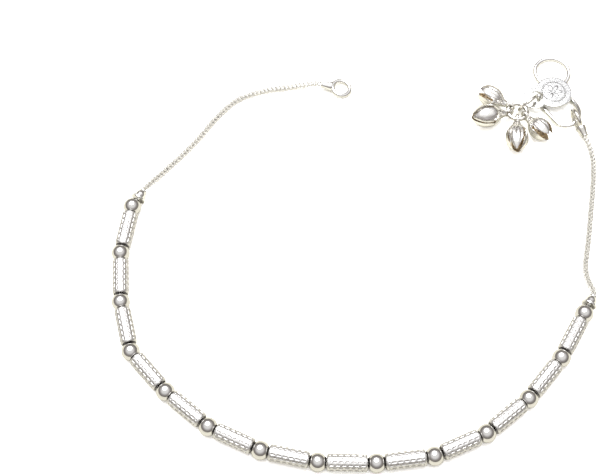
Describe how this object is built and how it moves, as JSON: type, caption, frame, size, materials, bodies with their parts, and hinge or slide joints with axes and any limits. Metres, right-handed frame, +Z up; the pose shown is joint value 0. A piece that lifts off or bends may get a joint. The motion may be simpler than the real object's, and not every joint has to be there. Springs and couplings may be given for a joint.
{
  "type": "payal anklet",
  "caption": "Silver anklet laid open: round balls and fluted tubes on a wire, foxtail chain ends, S-hook clasp, round tag and bud bells.",
  "frame": {"origin": "middle of the space the laid-out anklet covers, on the surface it lies on", "axes": "+X from the first ball's side to the clasp's side, +Y away from the bead arc towards the open ends, +Z up"},
  "size_m": [0.103, 0.0976, 0.0054],
  "materials": {
    "ball_silver": "mirror-polished silver",
    "tube_silver": "silver with bright diamond-cut flutes",
    "chain_silver": "silver foxtail links with darker crevices",
    "polished_silver": "polished silver wire",
    "tag_silver": "bright stamped silver",
    "bell_silver": "polished silver, darker in the slits"
  },
  "bodies": {
    "root": {"left_end_ring": "polished_silver", "left_chain": "chain_silver", "left_end_cap": "polished_silver", "ball_01": "ball_silver", "ball_02": "ball_silver", "ball_03": "ball_silver", "ball_04": "ball_silver", "ball_05": "ball_silver", "ball_06": "ball_silver", "ball_07": "ball_silver", "ball_08": "ball_silver", "ball_09": "ball_silver", "ball_10": "ball_silver", "ball_11": "ball_silver", "ball_12": "ball_silver", "ball_13": "ball_silver", "ball_14": "ball_silver", "tube_01": "tube_silver", "tube_02": "tube_silver", "tube_03": "tube_silver", "tube_04": "tube_silver", "tube_05": "tube_silver", "tube_06": "tube_silver", "tube_07": "tube_silver", "tube_08": "tube_silver", "tube_09": "tube_silver", "tube_10": "tube_silver", "tube_11": "tube_silver", "tube_12": "tube_silver", "tube_13": "tube_silver", "bead_wire": "chain_silver", "right_end_cap": "polished_silver", "right_chain": "chain_silver", "right_end_ring": "polished_silver", "s_hook": "polished_silver", "tag": "tag_silver", "link_ring": "polished_silver", "bell_ring": "polished_silver", "bell_1": "bell_silver", "bell_2": "bell_silver", "bell_3": "bell_silver", "bell_4": "bell_silver"}
  },
  "joints": []
}
